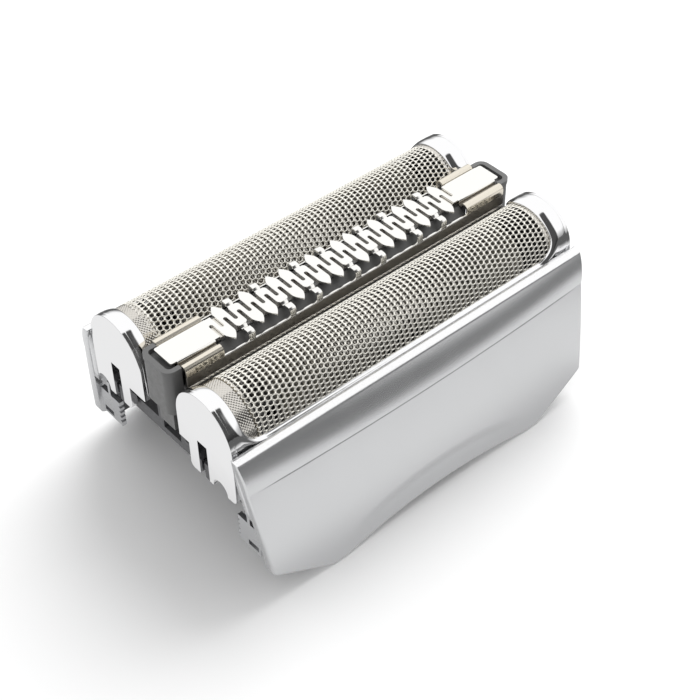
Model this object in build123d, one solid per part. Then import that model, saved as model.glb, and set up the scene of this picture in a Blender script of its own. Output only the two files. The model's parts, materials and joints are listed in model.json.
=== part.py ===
from build123d import *
import math
import os

os.makedirs("parts", exist_ok=True)

# Frame, in millimetres: +X along the foils, -Y the front, +Z up, z = 0 under the feet of the covers

# Layout and travel
cassette_length = 44.0        # over the covers
head_pitch = 13.7             # between the centre lines of the two foil arches
foil_centre_z = 17.05         # height of the arches' centre lines
floor_top_z = 10.8            # top of the chassis floor
run_gap = 0.2                 # between pieces that slide past each other
seat_gap = 0.05               # between pieces that are clipped together
foil_float = 2.0              # how far a foil head sinks
trimmer_float = 1.5           # how far the trimmer sinks
cutter_stroke = 1.2           # how far a cutter swings each way
coupler_plunge = 1.6          # how far a drive coupler sinks into its cutter

# Shaving foil
foil_radius = 3.82
foil_wall = 0.12
foil_inset = 1.2              # from the covers' ends to the foil's
foil_tail = 2.6               # straight edge below the arch
foil_facets = 7               # flats round the arch, all but the lowest with a row of holes
hole_margin = 2.4             # from the foil's ends to the nearest holes
hole_pitch_x = 4.1
hole_radius = 0.9

# Foil carrier, the plated frame round a foil
carrier_inset = 0.32          # from the covers' ends to the carrier's
carrier_wall = 0.3
foil_fit = 0.03
end_wall = 0.73
band_width = 1.43             # of the arched band between an end face and the window
rim_width = 0.45              # of the raised rim round the window's ends
rim_height = 0.12
rim_start = 1.15              # from the arch's centre up to where the rim begins
window_outer_z = 17.25
window_inner_z = 15.3
window_corner = 1.9
rail_bottom_z = 14.1
shoulder_z = 13.7             # underside of the end wall's inner half
leg_bottom_z = 10.7
leg_width = 1.4
slot_shift = 0.57             # guide slot, from the arch's centre line: outwards at one end, inwards at one
slot_width = 1.4
slot_top_z = 15.1
scallop_offset = 2.48         # scallop, from the arch's centre line
scallop_shift = 0.72          # and how far it follows the slot
scallop_radius = 1.05
scallop_top_z = 11.95
leg_round = 0.55
shelf_wall = 0.8
shelf_length = 1.75
spring_offset = 1.95          # foil springs, from the arch's centre line

# Cutter: a plastic carrier with a stack of arched blades
blade_gap = 0.08              # between blades and foil
blade_depth = 0.92
blade_wall = 0.3
blade_facets = 5
blade_pitch = 3.3
flange_half = 3.3
flange_wall = 1.2
flange_margin = 0.4           # beyond the last blade
flange_web = 1.0              # left round the openings in the flange
tower_length = 6.0
tower_half = 1.8
tower_top_z = 18.6
pocket_length = 4.4
pocket_half = 1.3
pocket_floor = 0.7
spring_room = 2.3

# Drive coupler, the plunger with the socket for the shaver's drive pin
coupler_stem = 1.7
coupler_head_wall = 0.8
coupler_head_length = 3.6
coupler_head_width = 2.2
socket_block = 3.7
socket_height = 3.6
socket_radius = 1.2
socket_depth = 2.6

# Trimmer: a slotted comb of folded sheet over a reciprocating blade
comb_inset = 1.2              # from the covers' ends to the comb's end plates
comb_wall_inset = 1.85        # and to the comb's side walls
comb_rise = 0.13              # above the foils
comb_sheet = 0.2
comb_plate_half = 1.36
comb_groove_depth = 0.28
comb_groove_width = 0.55
comb_rail_drop = 0.05
comb_side_gap = 0.28          # from the comb's side walls to the foils
comb_wall_drop = 2.5          # from the comb's top to the foot of its side walls
comb_round = 0.3
tooth_pitch = 1.624
tooth_count = 18
tooth_shift = 0.42            # front row to the left of centre, rear row to the right
tooth_reach = 2.46
tooth_shoulder = 1.45
slot_cut = 0.37
slot_end = 0.47
leg_cut_width = 0.72
sill_drop = 1.1               # from the comb's top to the sills between its legs
leg_places = (1, 4, 6, 9, 11, 14, 16)

blade_plate_half = 1.25
blade_plate_wall = 0.3
blade_overhang = 0.9          # beyond the rows of teeth
blade_clear = 0.06
blade_slot = 0.5

# Trimmer holder and slider
holder_inset = 0.1            # from the covers' ends to the posts
post_length = 1.7
post_half = 2.12
post_drop = 0.17              # from the comb's top to the posts'
post_bottom_z = 15.4
post_lip = 0.46
post_recess = 0.55
post_round = 0.9
lip_height = 0.5
lip_reach = 0.08
channel_wall = 0.45
channel_inset = 0.3           # from the comb's side walls
channel_floor = 0.6
channel_bottom_z = 14.2
ledge_wall = 0.4
ledge_reach = 0.1
tongue_half = 1.15
tongue_thick = 0.9
slider_overhang = 0.4         # beyond the rows of teeth
slider_web = 0.8
slider_flange = 0.5
peg_x = 8.0
peg_radius = 0.35
peg_fit = 0.05
peg_reach = 0.6
peg_z = 13.45
fork_tine = 0.8
fork_bottom_z = 11.0

# Covers
cover_top_z = 16.9            # outer edge of the sloping top rail
cover_gap = 0.12              # to the foil carriers
cover_rail = 0.61             # width of the top rail
cover_rail_rise = 0.3
cover_wall = 1.0
cover_end_depth = 2.0         # of the thick ends, inwards from the cover's face
cover_end_length = 1.05
cover_end_low_z = 9.7
cover_band_flats = 4          # flats between the top rail and the crease
cover_crease_z = 13.4
cover_crease_out = 1.46       # beyond the top edge
cover_crease_bow = 0.6
cover_foot_out = 3.62         # beyond the top edge
cover_foot_bow = 0.3
cover_upper_bulge = 0.3
cover_lower_bulge = 0.18
cover_corner_inset = 1.25     # from the cover's ends to its lower corners
cover_corner_z = 3.3
cover_corner_round = 0.7
foot_inset = 8.0              # from the cover's ends to its feet
foot_length = 1.4
foot_arch = 0.8
scoop_radius = 60.0
scoop_spread = 9.4
scoop_centre_z = -4.9

# Chassis
chassis_inset = 1.25          # from the covers' ends to the chassis
chassis_floor = 0.8
skirt_wall = 0.8
skirt_bottom_z = 5.7
skirt_end = 0.55              # from the chassis' ends to the skirts'
skirt_inset = 0.8             # from the carriers' outer wall to the skirt's inner face
guide_wall = 0.7
guide_top_z = 13.4
flange_height = 1.0
flange_end = 1.25             # from the chassis' ends to the side flanges'
flange_reach = 0.65           # beyond the guides, to carry the covers
end_bar = 0.85
end_bar_top_z = 11.6
cheek_wall = 0.8
rib_reach = 0.55
vent_length = 9.0
vent_width = 3.8
vent_x = 10.6

# Latch strips, plated strips with toothed tabs at the ends
strip_wall = 0.4
strip_top_z = 9.5
strip_bottom_z = 5.9
tab_wall = 0.5
tab_top_z = 7.7
tab_bottom_z = 4.4
tab_inner_y = 9.6
tab_reach = 2.65
tab_tooth = 0.3
tab_tooth_count = 4
tab_slot_height = 0.65
tab_slot_length = 1.5
tab_tooth_start = 0.7         # of a pitch, from the tab's top to its first tooth

# Springs of wire, one group for each floating piece
wire_side = 0.2
coil_inset = 0.16             # from a spring's seat to the middle of its wire
coil_turns = 3
coil_corners = 6
foil_coil_radius = 0.62
trimmer_coil_radius = 0.8
cutter_coil_radius = 0.85
trimmer_spring_x = 14.0

# Derived places
cover_half = cassette_length / 2
head_y = head_pitch / 2
carrier_inner = foil_radius + foil_fit
carrier_radius = carrier_inner + carrier_wall
carrier_half = cover_half - carrier_inset
carrier_end = carrier_half - end_wall
window_half = carrier_half - band_width
foil_half = cover_half - foil_inset
hole_reach = int((foil_half - hole_margin) / hole_pitch_x)
cutter_base_z = floor_top_z + foil_float + run_gap
flange_top_z = cutter_base_z + flange_wall
spring_seat_z = flange_top_z
rib_top_z = spring_seat_z - foil_float - run_gap
cheek_top_z = post_bottom_z - trimmer_float - run_gap
facet_angle = 180.0 / foil_facets
stack_half = carrier_end - shelf_length - cutter_stroke - run_gap - flange_margin
blade_count = int(2 * stack_half / blade_pitch)
chassis_half = cover_half - chassis_inset
skirt_half = chassis_half - skirt_end
flange_end_x = chassis_half - flange_end
holder_half = cover_half - holder_inset
comb_top_z = foil_centre_z + foil_radius + comb_rise
comb_wall_bottom_z = comb_top_z - comb_wall_drop
window_sill_z = comb_top_z - sill_drop
post_top_z = comb_top_z - post_drop
comb_end_x = cover_half - comb_inset
teeth_half = tooth_count * tooth_pitch / 2
comb_wall_x = cover_half - comb_wall_inset
cover_corner_x = cover_half - cover_corner_inset
foot_outer_x = cover_half - foot_inset
foot_inner_x = foot_outer_x - foot_length
floor_bottom_z = floor_top_z - chassis_floor
comb_half = head_y - foil_radius - comb_side_gap
channel_half = comb_half - channel_inset
cover_top_y = head_y + carrier_radius + cover_gap + cover_rail
skirt_inner_y = head_y + carrier_radius - skirt_inset
skirt_outer_y = skirt_inner_y + skirt_wall
guide_inner_y = head_y + carrier_radius + run_gap
spring_y = head_y + spring_offset
end_bar_y = head_y + scallop_offset - scallop_shift - scallop_radius
foil_spring_x = (carrier_end + carrier_end - shelf_length) / 2
slot_reach = cutter_stroke + run_gap


def block(x0, x1, y0, y1, z0, z1):
    """A box between two corners."""
    return Pos((x0 + x1) / 2, (y0 + y1) / 2, (z0 + z1) / 2) * Box(x1 - x0, y1 - y0, z1 - z0)


def along_x(face, x0, x1, y=0.0, z=0.0):
    """A cross-section drawn in Y and Z, drawn out along X."""
    return extrude(Plane(origin=(x0, y, z), x_dir=(0, 1, 0), z_dir=(1, 0, 0)) * face, x1 - x0)


def along_y(face, y0, y1):
    """An outline drawn in X and Z, drawn out along Y."""
    return extrude(Plane(origin=(0, y1, 0), x_dir=(1, 0, 0), z_dir=(0, -1, 0)) * face, y1 - y0)


def along_z(face, z0, z1):
    """A plan drawn in X and Y, drawn out along Z."""
    return extrude(Plane.XY.offset(z0) * face, z1 - z0)


def rectangle(x0, x1, y0, y1):
    """A flat rectangle between two corners."""
    return Pos((x0 + x1) / 2, (y0 + y1) / 2) * Rectangle(x1 - x0, y1 - y0)


def corner(outline, x, y):
    """The corner of a flat outline that lies nearest to a point."""
    return min(outline.vertices(), key=lambda v: (v.X - x) ** 2 + (v.Y - y) ** 2)


def both_ends(shape):
    """A shape and its mirror image at the other end."""
    return shape + mirror(shape, about=Plane.YZ)


def to_front(shape):
    """The front piece that mirrors a rear one."""
    return mirror(shape, about=Plane.XZ)


def arch(outer, inner, leg):
    """A half ring with straight legs, in Y and Z about its own centre."""
    return make_face([
        Line((outer, -leg), (outer, 0)),
        ThreePointArc((outer, 0), (0, outer), (-outer, 0)),
        Line((-outer, 0), (-outer, -leg)),
        Line((-outer, -leg), (-inner, -leg)),
        Line((-inner, -leg), (-inner, 0)),
        ThreePointArc((-inner, 0), (0, inner), (inner, 0)),
        Line((inner, 0), (inner, -leg)),
        Line((inner, -leg), (outer, -leg)),
    ])


def faceted_arch(outer, inner, leg, facets):
    """The same arch bent in flats, as thin sheet is on a brake."""
    def half_round(radius):
        turns = [math.pi * step / facets for step in range(facets + 1)]
        bend = [(radius * math.cos(turn), radius * math.sin(turn)) for turn in turns]
        return [(radius, -leg), *bend, (-radius, -leg)]
    return make_face(Polyline(*half_round(outer), *reversed(half_round(inner)), close=True))


def bulged(start, end, bulge):
    """An arc that stands out from its chord, to the left of the way it runs."""
    dx, dy = end[0] - start[0], end[1] - start[1]
    length = math.hypot(dx, dy)
    middle = ((start[0] + end[0]) / 2 - dy / length * bulge, (start[1] + end[1]) / 2 + dx / length * bulge)
    return ThreePointArc(start, middle, end)


def sheet_outline(points, thickness):
    """A strip of even thickness to the right of a bent line, with mitred corners."""
    normals = []
    for (ax, ay), (bx, by) in zip(points, points[1:]):
        length = math.hypot(bx - ax, by - ay)
        normals.append(((by - ay) / length, (ax - bx) / length))
    inner = []
    for index, (x, y) in enumerate(points):
        before = normals[max(index - 1, 0)]
        after = normals[min(index, len(normals) - 1)]
        share = thickness / (1 + before[0] * after[0] + before[1] * after[1])
        inner.append((x + (before[0] + after[0]) * share, y + (before[1] + after[1]) * share))
    return make_face(Polyline(*points, *reversed(inner), close=True))


def coil_spring(x, y, z0, z1, coil_radius):
    """A compression spring of square wire between two heights."""
    steps = int(coil_turns * coil_corners)
    low, high = z0 + coil_inset, z1 - coil_inset
    points = []
    for step in range(steps + 1):
        angle = 2 * math.pi * step / coil_corners
        points.append((
            x + coil_radius * math.cos(angle),
            y + coil_radius * math.sin(angle),
            low + (high - low) * step / steps,
        ))
    path = Polyline(*points)
    section = Plane(origin=path @ 0, z_dir=path % 0) * Rectangle(wire_side, wire_side)
    return sweep(section, path=path, transition=Transition.RIGHT)


def turned_to_front(shape):
    """The front piece that is a rear one turned half round."""
    return Rot(Z=180) * shape


def make_foil():
    """The perforated foil, bent into an arch, on the rear side."""
    section = faceted_arch(foil_radius, foil_radius - foil_wall, foil_tail, foil_facets)
    sheet = along_x(section, -foil_half, foil_half, head_y, foil_centre_z)
    punch = extrude(RegularPolygon(hole_radius, 6), 6 * foil_wall)
    punch = Pos(0, 0, foil_radius - 3 * foil_wall) * punch
    punches = []
    for row in range(1, foil_facets - 1):
        turn = (row - (foil_facets - 1) / 2) * facet_angle
        stagger = row % 2
        for column in range(2 * hole_reach + 1 - stagger):
            x = (column - hole_reach + stagger / 2) * hole_pitch_x
            punches.append(Pos(x, head_y, foil_centre_z) * Rot(X=turn) * punch)
    return sheet - punches


def end_wall_outline(end):
    """The end wall of a foil carrier: an arch over a guide slot, a thin leg and a scalloped foot."""
    foot = leg_bottom_z - foil_centre_z
    shoulder = shoulder_z - foil_centre_z
    slot_in = end * slot_shift - slot_width / 2
    slot_out = end * slot_shift + slot_width / 2
    slot_top = slot_top_z - foil_centre_z
    outline = Circle(carrier_radius) & rectangle(-carrier_radius, carrier_radius, 0, carrier_radius)
    outline += rectangle(-carrier_radius, carrier_radius, shoulder, 0)
    outline += rectangle(slot_in - leg_width, carrier_radius, foot, shoulder)
    outline -= rectangle(slot_in, slot_out, foot, slot_top)
    scallop = scallop_offset + end * scallop_shift
    scallop_centre = scallop_top_z - foil_centre_z - scallop_radius
    outline -= Pos(scallop, scallop_centre) * Circle(scallop_radius)
    outline -= rectangle(scallop - scallop_radius, scallop + scallop_radius, foot, scallop_centre)
    feet = outline.vertices().group_by(Axis.Y)[0].sort_by(Axis.X)
    rounded = [feet[0], *(vertex for vertex in feet if vertex.X > carrier_radius - seat_gap)]
    return fillet(rounded, leg_round)


def window_opening(grow):
    """The space over the foil that a carrier leaves open, or that space grown by a margin."""
    half = window_half + grow
    top = foil_centre_z + 2 * carrier_radius
    opening = []
    for low, near, far in ((window_outer_z - grow, head_y, head_y + 2 * carrier_radius),
                           (window_inner_z - grow, head_y - 2 * carrier_radius, head_y)):
        window = rectangle(-half, half, low, top)
        window = fillet([corner(window, -half, low), corner(window, half, low)], window_corner + grow)
        opening.append(along_y(window, near, far))
    return opening[0] + opening[1]


def make_foil_carrier():
    """The plated frame: two end walls, rimmed arched bands over the foil's ends and a rail on each side."""
    hoop = arch(carrier_radius, carrier_inner, foil_centre_z - rail_bottom_z)
    frame = along_x(hoop, -carrier_half, carrier_half, head_y, foil_centre_z)
    rim_radius = carrier_radius + rim_height
    rim = Circle(rim_radius) - Circle(carrier_inner)
    rim &= rectangle(-rim_radius, rim_radius, rim_start, rim_radius)
    frame += along_x(rim, -carrier_half, carrier_half, head_y, foil_centre_z) & window_opening(rim_width)
    frame -= window_opening(0)
    frame += along_x(end_wall_outline(1), -carrier_half, -carrier_end, head_y, foil_centre_z)
    frame += along_x(end_wall_outline(-1), carrier_end, carrier_half, head_y, foil_centre_z)
    shelf_half = foil_radius - foil_wall - seat_gap
    shelf = block(carrier_end - shelf_length, carrier_end, head_y - shelf_half, head_y + shelf_half,
                  spring_seat_z, spring_seat_z + shelf_wall)
    return frame + both_ends(shelf)


def make_cutter_blades():
    """The stack of arched blades, each standing on the cutter carrier's flange."""
    outer = (foil_radius - foil_wall) * math.cos(math.radians(facet_angle / 2)) - blade_gap
    leg = foil_centre_z - flange_top_z
    face = faceted_arch(outer, outer - blade_depth, leg, blade_facets)
    blades = []
    for index in range(blade_count):
        x = (index - (blade_count - 1) / 2) * blade_pitch
        blades.append(along_x(face, x - blade_wall / 2, x + blade_wall / 2, head_y, foil_centre_z))
    return Compound(children=blades)


def make_cutter_carrier():
    """The moulded base of a cutter, with a tower that holds the spring and the coupler's head."""
    half = ((blade_count - 1) * blade_pitch + blade_wall) / 2 + flange_margin
    base = block(-half, half, head_y - flange_half, head_y + flange_half, cutter_base_z, flange_top_z)
    base -= both_ends(block(
        tower_length / 2 + flange_web, half - flange_web, head_y - tower_half, head_y + tower_half,
        cutter_base_z, flange_top_z))
    base += block(-tower_length / 2, tower_length / 2, head_y - tower_half, head_y + tower_half,
                  cutter_base_z, tower_top_z)
    pocket_bottom = cutter_base_z + pocket_floor
    pocket_top = pocket_bottom + run_gap + coupler_head_wall + spring_room
    base -= block(-pocket_length / 2, pocket_length / 2, head_y - pocket_half, head_y + pocket_half,
                  pocket_bottom, pocket_top)
    stem_hole = coupler_stem / 2 + run_gap / 2
    base -= block(-stem_hole, stem_hole, head_y - stem_hole, head_y + stem_hole,
                  cutter_base_z, pocket_bottom)
    return base


def make_trimmer_peg():
    """The peg on the front cutter that drives the trimmer, drawn on the rear side before mirroring."""
    root = head_y - flange_half
    peg = Pos(peg_x, root, peg_z) * Rot(X=90) * Cylinder(
        peg_radius, root + peg_reach, align=(Align.CENTER, Align.CENTER, Align.MIN))
    return peg


def make_drive_coupler():
    """The plunger: a head in the cutter's pocket, a stem and a block with the socket for the drive pin."""
    head_bottom = cutter_base_z + pocket_floor + run_gap
    block_top = cutter_base_z - coupler_plunge - 3 * run_gap
    coupler = block(-coupler_head_length / 2, coupler_head_length / 2,
                    head_y - coupler_head_width / 2, head_y + coupler_head_width / 2,
                    head_bottom, head_bottom + coupler_head_wall)
    stem_half = coupler_stem / 2
    coupler += block(-stem_half, stem_half, head_y - stem_half, head_y + stem_half, block_top, head_bottom)
    foot = Pos(0, head_y) * Rectangle(socket_block, socket_block)
    foot = chamfer(foot.vertices(), socket_block / 6)
    coupler += along_z(foot, block_top - socket_height, block_top)
    socket = Pos(0, head_y, block_top - socket_height) * Cylinder(
        socket_radius, socket_depth, align=(Align.CENTER, Align.CENTER, Align.MIN))
    return coupler - socket


def tooth_x(index, side):
    """Where a tooth stands along the comb; side is -1 for the front row and 1 for the rear row."""
    return (index - (tooth_count - 1) / 2) * tooth_pitch + side * tooth_shift


def comb_places(side):
    """The teeth that end in legs on one side; the rear row is the front row turned half round."""
    return leg_places if side < 0 else tuple(tooth_count - 1 - place for place in reversed(leg_places))


def comb_section():
    """Half of the comb's folded section, for y above zero: plate, groove, rounded rail and side wall."""
    groove_z = comb_top_z - comb_groove_depth
    rail_z = comb_top_z - comb_rail_drop
    slant = comb_groove_width / 3
    line = [
        (0, comb_top_z),
        (comb_plate_half, comb_top_z),
        (comb_plate_half + slant, groove_z),
        (comb_plate_half + 2 * slant, groove_z),
        (comb_plate_half + 3 * slant, rail_z),
        (comb_half, rail_z),
        (comb_half, comb_wall_bottom_z),
    ]
    outline = sheet_outline(line, comb_sheet)
    return chamfer(corner(outline, comb_half, rail_z), comb_round)


def make_trimmer_comb():
    """The slotted comb: a serpentine of pointed teeth and legs cut in the folded sheet."""
    wing = along_x(comb_section(), -comb_wall_x, comb_wall_x)
    comb = wing + mirror(wing, about=Plane.XZ)
    comb += block(-comb_end_x, comb_end_x, -comb_plate_half, comb_plate_half,
                  comb_top_z - comb_sheet, comb_top_z)
    above = comb_top_z + comb_sheet
    for side in (-1, 1):
        legs = comb_places(side)
        edges = [tooth_x(0, side) - tooth_pitch]
        for place in legs:
            edges += [tooth_x(place, side) - leg_cut_width / 2, tooth_x(place, side) + leg_cut_width / 2]
        edges.append(tooth_x(tooth_count - 1, side) + tooth_pitch)
        for start, end in zip(edges[0::2], edges[1::2]):
            low, high = sorted((side * comb_plate_half, side * (comb_half + comb_sheet)))
            comb -= block(start, end, low, high, window_sill_z, above)
        width = (tooth_pitch - slot_cut) / 2
        for index in range(tooth_count):
            if index in legs:
                continue
            x = tooth_x(index, side)
            tip = make_face(Polyline(
                (x - width, side * slot_end), (x - width, side * tooth_shoulder), (x, side * tooth_reach),
                (x + width, side * tooth_shoulder), (x + width, side * slot_end), close=True))
            comb += along_z(tip, comb_top_z - comb_sheet, comb_top_z)
        for index in range(tooth_count + 1):
            x = tooth_x(index, side) - tooth_pitch / 2
            low, high = sorted((-side * slot_end, side * (comb_half + comb_sheet)))
            slot = rectangle(x - slot_cut / 2, x + slot_cut / 2, low, high)
            comb -= along_z(slot, window_sill_z, above)
    return comb


def make_trimmer_blade():
    """The reciprocating blade under the comb, notched along both edges where the comb is slotted."""
    half = teeth_half + blade_overhang
    top = comb_top_z - comb_sheet - blade_clear
    blade = block(-half, half, -blade_plate_half, blade_plate_half, top - blade_plate_wall, top)
    for side in (-1, 1):
        low, high = sorted((-side * slot_end, side * 2 * blade_plate_half))
        for index in range(1, tooth_count):
            x = tooth_x(index, side) - tooth_pitch / 2
            blade -= block(x - blade_slot / 2, x + blade_slot / 2, low, high, top - blade_plate_wall, top)
    return blade


def make_trimmer_slider():
    """The beam that carries the trimmer blade, with a fork that hangs over the front cutter's peg."""
    half = teeth_half + slider_overhang
    top = comb_top_z - comb_sheet - blade_clear - blade_plate_wall
    bottom = channel_bottom_z + channel_floor + run_gap
    runner = channel_half - channel_wall - run_gap
    slider = block(-half, half, -slider_web, slider_web, bottom, top)
    slider += block(-half, half, -blade_plate_half, blade_plate_half, top - slider_flange, top)
    slider += block(-half, half, -runner, runner, bottom, bottom + slider_flange)
    fork = peg_radius + peg_fit
    slider += block(peg_x - fork - fork_tine, peg_x + fork + fork_tine, -slider_web, slider_web,
                    fork_bottom_z, bottom)
    slot_top = peg_z + trimmer_float + peg_radius + run_gap
    slider -= block(peg_x - fork, peg_x + fork, -channel_half, channel_half, fork_bottom_z, slot_top)
    return slider


def post_plan(inner_x, grow):
    """The plan of a post, rounded at its outer corners, or that plan grown by a margin."""
    half = post_half + grow
    end = holder_half - lip_reach + grow
    plan = rectangle(inner_x, end, -half, half)
    return fillet([corner(plan, end, -half), corner(plan, end, half)], post_round + grow)


def make_trimmer_holder():
    """The channel that carries the comb, with a lipped post and a guide tongue at each end."""
    half = holder_half
    post_in = half - post_length
    inner = channel_half - channel_wall
    ledge_top = comb_wall_bottom_z
    end = chassis_half - end_bar - run_gap
    channel = block(-post_in, post_in, -channel_half, channel_half, post_bottom_z, ledge_top)
    channel += block(-end, end, -channel_half, channel_half, channel_bottom_z, post_bottom_z)
    ledge = comb_half + ledge_reach
    ledge_end = window_half - 2 * run_gap
    channel += block(-ledge_end, ledge_end, -ledge, ledge, ledge_top - ledge_wall, ledge_top)
    channel -= block(-post_in, post_in, -inner, inner, channel_bottom_z + channel_floor, ledge_top)
    fork_reach = peg_radius + peg_fit + fork_tine + slot_reach
    notch_top = peg_z + trimmer_float + peg_radius + run_gap
    channel -= block(peg_x - fork_reach, peg_x + fork_reach, -channel_half, channel_half,
                     channel_bottom_z, notch_top)
    post = along_z(post_plan(post_in, 0), post_bottom_z, post_top_z)
    post += along_z(post_plan(post_in, lip_reach), post_top_z - lip_height, post_top_z)
    post -= along_z(post_plan(post_in, -post_lip), post_top_z - post_recess, post_top_z)
    tongue_bottom = floor_top_z + trimmer_float + run_gap
    post += block(post_in, post_in + tongue_thick, -tongue_half, tongue_half, tongue_bottom, post_bottom_z)
    return channel + both_ends(post)


def cover_section(x, share, wall):
    """The section of a rear cover at one place along it; share is how much of the bow it has."""
    top = (cover_top_y, cover_top_z)
    crease = (cover_top_y + cover_crease_out + share * cover_crease_bow, cover_crease_z)
    foot = (cover_top_y + cover_foot_out + share * cover_foot_bow, -cover_wall)
    top_in = (cover_top_y - cover_rail, cover_top_z + cover_rail_rise)
    crease_in = (crease[0] - wall, crease[1])
    foot_in = (foot[0] - wall, foot[1])
    band = bulged(top, crease, cover_upper_bulge)
    face = make_face([
        Polyline(*(band @ (step / cover_band_flats) for step in range(cover_band_flats + 1))),
        bulged(crease, foot, cover_lower_bulge),
        Line(foot, foot_in),
        Line(foot_in, crease_in),
        Line(crease_in, top_in),
        Line(top_in, top),
    ])
    return Plane(origin=(x, 0, 0), x_dir=(0, 1, 0), z_dir=(1, 0, 0)) * face


def cover_outline():
    """The cover seen from the front: tapered ends, cut corners and a low arch between the feet."""
    half = cover_half
    top_z = cover_top_z + cover_rail_rise
    outline = make_face([
        Line((-half, top_z), (half, top_z)),
        Line((half, top_z), (cover_corner_x, cover_corner_z)),
        Line((cover_corner_x, cover_corner_z), (foot_outer_x, 0)),
        Line((foot_outer_x, 0), (foot_inner_x, 0)),
        ThreePointArc((foot_inner_x, 0), (0, foot_arch), (-foot_inner_x, 0)),
        Line((-foot_inner_x, 0), (-foot_outer_x, 0)),
        Line((-foot_outer_x, 0), (-cover_corner_x, cover_corner_z)),
        Line((-cover_corner_x, cover_corner_z), (-half, top_z)),
    ])
    rounded = [corner(outline, x, cover_corner_z) for x in (-cover_corner_x, cover_corner_x)]
    return fillet(rounded, cover_corner_round)


def cover_shell(wall):
    """The bowed shell of a rear cover before it is cut to its outline."""
    places = ((-cover_half, 0), (0, 1), (cover_half, 0))
    return loft([cover_section(x, share, wall) for x, share in places])


def make_cover():
    """The rear cover: a bowed shell, thick at its ends, with a finger scoop in its lower edge."""
    end = block(cover_half - cover_end_length, cover_half, 0, 2 * cover_top_y, cover_end_low_z, comb_top_z)
    shell = cover_shell(cover_wall) + (cover_shell(cover_end_depth) & both_ends(end))
    shell &= along_y(cover_outline(), 0, 2 * cover_top_y)
    lean = math.atan2(cover_foot_out - cover_crease_out, cover_crease_z)
    face_y = cover_top_y + cover_foot_out + cover_foot_bow - scoop_centre_z * math.tan(lean)
    depth = scoop_spread ** 2 / (2 * scoop_radius)
    away = scoop_radius - depth
    centre = Pos(0, face_y + away * math.cos(lean), scoop_centre_z + away * math.sin(lean))
    return shell - centre * Sphere(scoop_radius)


def make_latch_strip():
    """The plated strip inside a cover, with a toothed and slotted tab at each end."""
    inner = skirt_outer_y + seat_gap
    outer = inner + strip_wall
    tab_out = skirt_outer_y + tab_reach - skirt_wall
    half = chassis_half
    strip = block(-half, half, inner, outer, strip_bottom_z, strip_top_z)
    tab = block(half - tab_wall, half, tab_inner_y, tab_out, tab_bottom_z, tab_top_z)
    pitch = (tab_top_z - tab_bottom_z) / (tab_tooth_count + 1)
    for index in range(tab_tooth_count):
        z = tab_top_z - pitch * (index + tab_tooth_start)
        notch = Polyline((tab_inner_y, z), (tab_inner_y + tab_tooth, z - pitch / 4),
                         (tab_inner_y, z - pitch / 2), close=True)
        tab -= along_x(make_face(notch), half - tab_wall, half)
    slot_y = tab_out - tab_slot_length - tab_tooth
    slot_z = tab_bottom_z + tab_tooth
    tab -= block(half - tab_wall, half, slot_y, slot_y + tab_slot_length, slot_z, slot_z + tab_slot_height)
    return strip + both_ends(tab)


def make_chassis():
    """The moulded frame: a vented floor, side skirts and guides for the foil heads and the trimmer."""
    chassis = block(-chassis_half, chassis_half, -skirt_outer_y, skirt_outer_y, floor_bottom_z, floor_top_z)
    side = block(-skirt_half, skirt_half, skirt_inner_y, skirt_outer_y, skirt_bottom_z, floor_bottom_z)
    side += block(-flange_end_x, flange_end_x, skirt_outer_y, guide_inner_y + guide_wall + flange_reach,
                  floor_top_z - flange_height, floor_top_z)
    side += block(-flange_end_x, flange_end_x, guide_inner_y, guide_inner_y + guide_wall,
                  floor_top_z, guide_top_z)
    window_x = socket_block / 2 + slot_reach
    window_y = socket_block / 2 + run_gap
    bar_in = chassis_half - end_bar
    cheek_in = tongue_half + run_gap
    end = block(bar_in, chassis_half, 0, end_bar_y, floor_top_z, end_bar_top_z)
    end += block(bar_in, chassis_half, cheek_in, cheek_in + cheek_wall, floor_top_z, cheek_top_z)
    end -= block(bar_in, chassis_half, 0, cheek_in, floor_top_z, end_bar_top_z)
    side += both_ends(end)
    chassis += side + to_front(side)
    rib_half = slot_width / 2 - run_gap
    rib = block(bar_in, chassis_half + rib_reach, head_y - rib_half, head_y + rib_half,
                floor_bottom_z, rib_top_z)
    ribs = mirror(Pos(0, slot_shift, 0) * rib, about=Plane.YZ) + Pos(0, -slot_shift, 0) * rib
    chassis += ribs + turned_to_front(ribs)
    openings = block(-window_x, window_x, head_y - window_y, head_y + window_y, floor_bottom_z, floor_top_z)
    vent = block(vent_x - vent_length / 2, vent_x + vent_length / 2,
                 head_y - vent_width / 2, head_y + vent_width / 2, floor_bottom_z, floor_top_z)
    openings += both_ends(vent)
    chassis -= openings + to_front(openings)
    fork_reach = peg_radius + peg_fit + fork_tine + slot_reach
    fork_half = slider_web + run_gap
    chassis -= block(peg_x - fork_reach, peg_x + fork_reach, -fork_half, fork_half,
                     floor_bottom_z, floor_top_z)
    return chassis


def make_foil_springs():
    """The pair of springs under the ends of the rear foil carrier."""
    return Compound(children=[
        coil_spring(x, spring_y, floor_top_z, spring_seat_z, foil_coil_radius)
        for x in (-foil_spring_x, foil_spring_x)
    ])


def make_trimmer_springs():
    """The pair of springs under the trimmer holder."""
    return Compound(children=[
        coil_spring(x, 0, floor_top_z, channel_bottom_z, trimmer_coil_radius)
        for x in (-trimmer_spring_x, trimmer_spring_x)
    ])


def make_cutter_spring():
    """The spring between a cutter and its drive coupler."""
    head_top = cutter_base_z + pocket_floor + run_gap + coupler_head_wall
    return coil_spring(0, head_y, head_top, head_top + spring_room, cutter_coil_radius)


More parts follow.
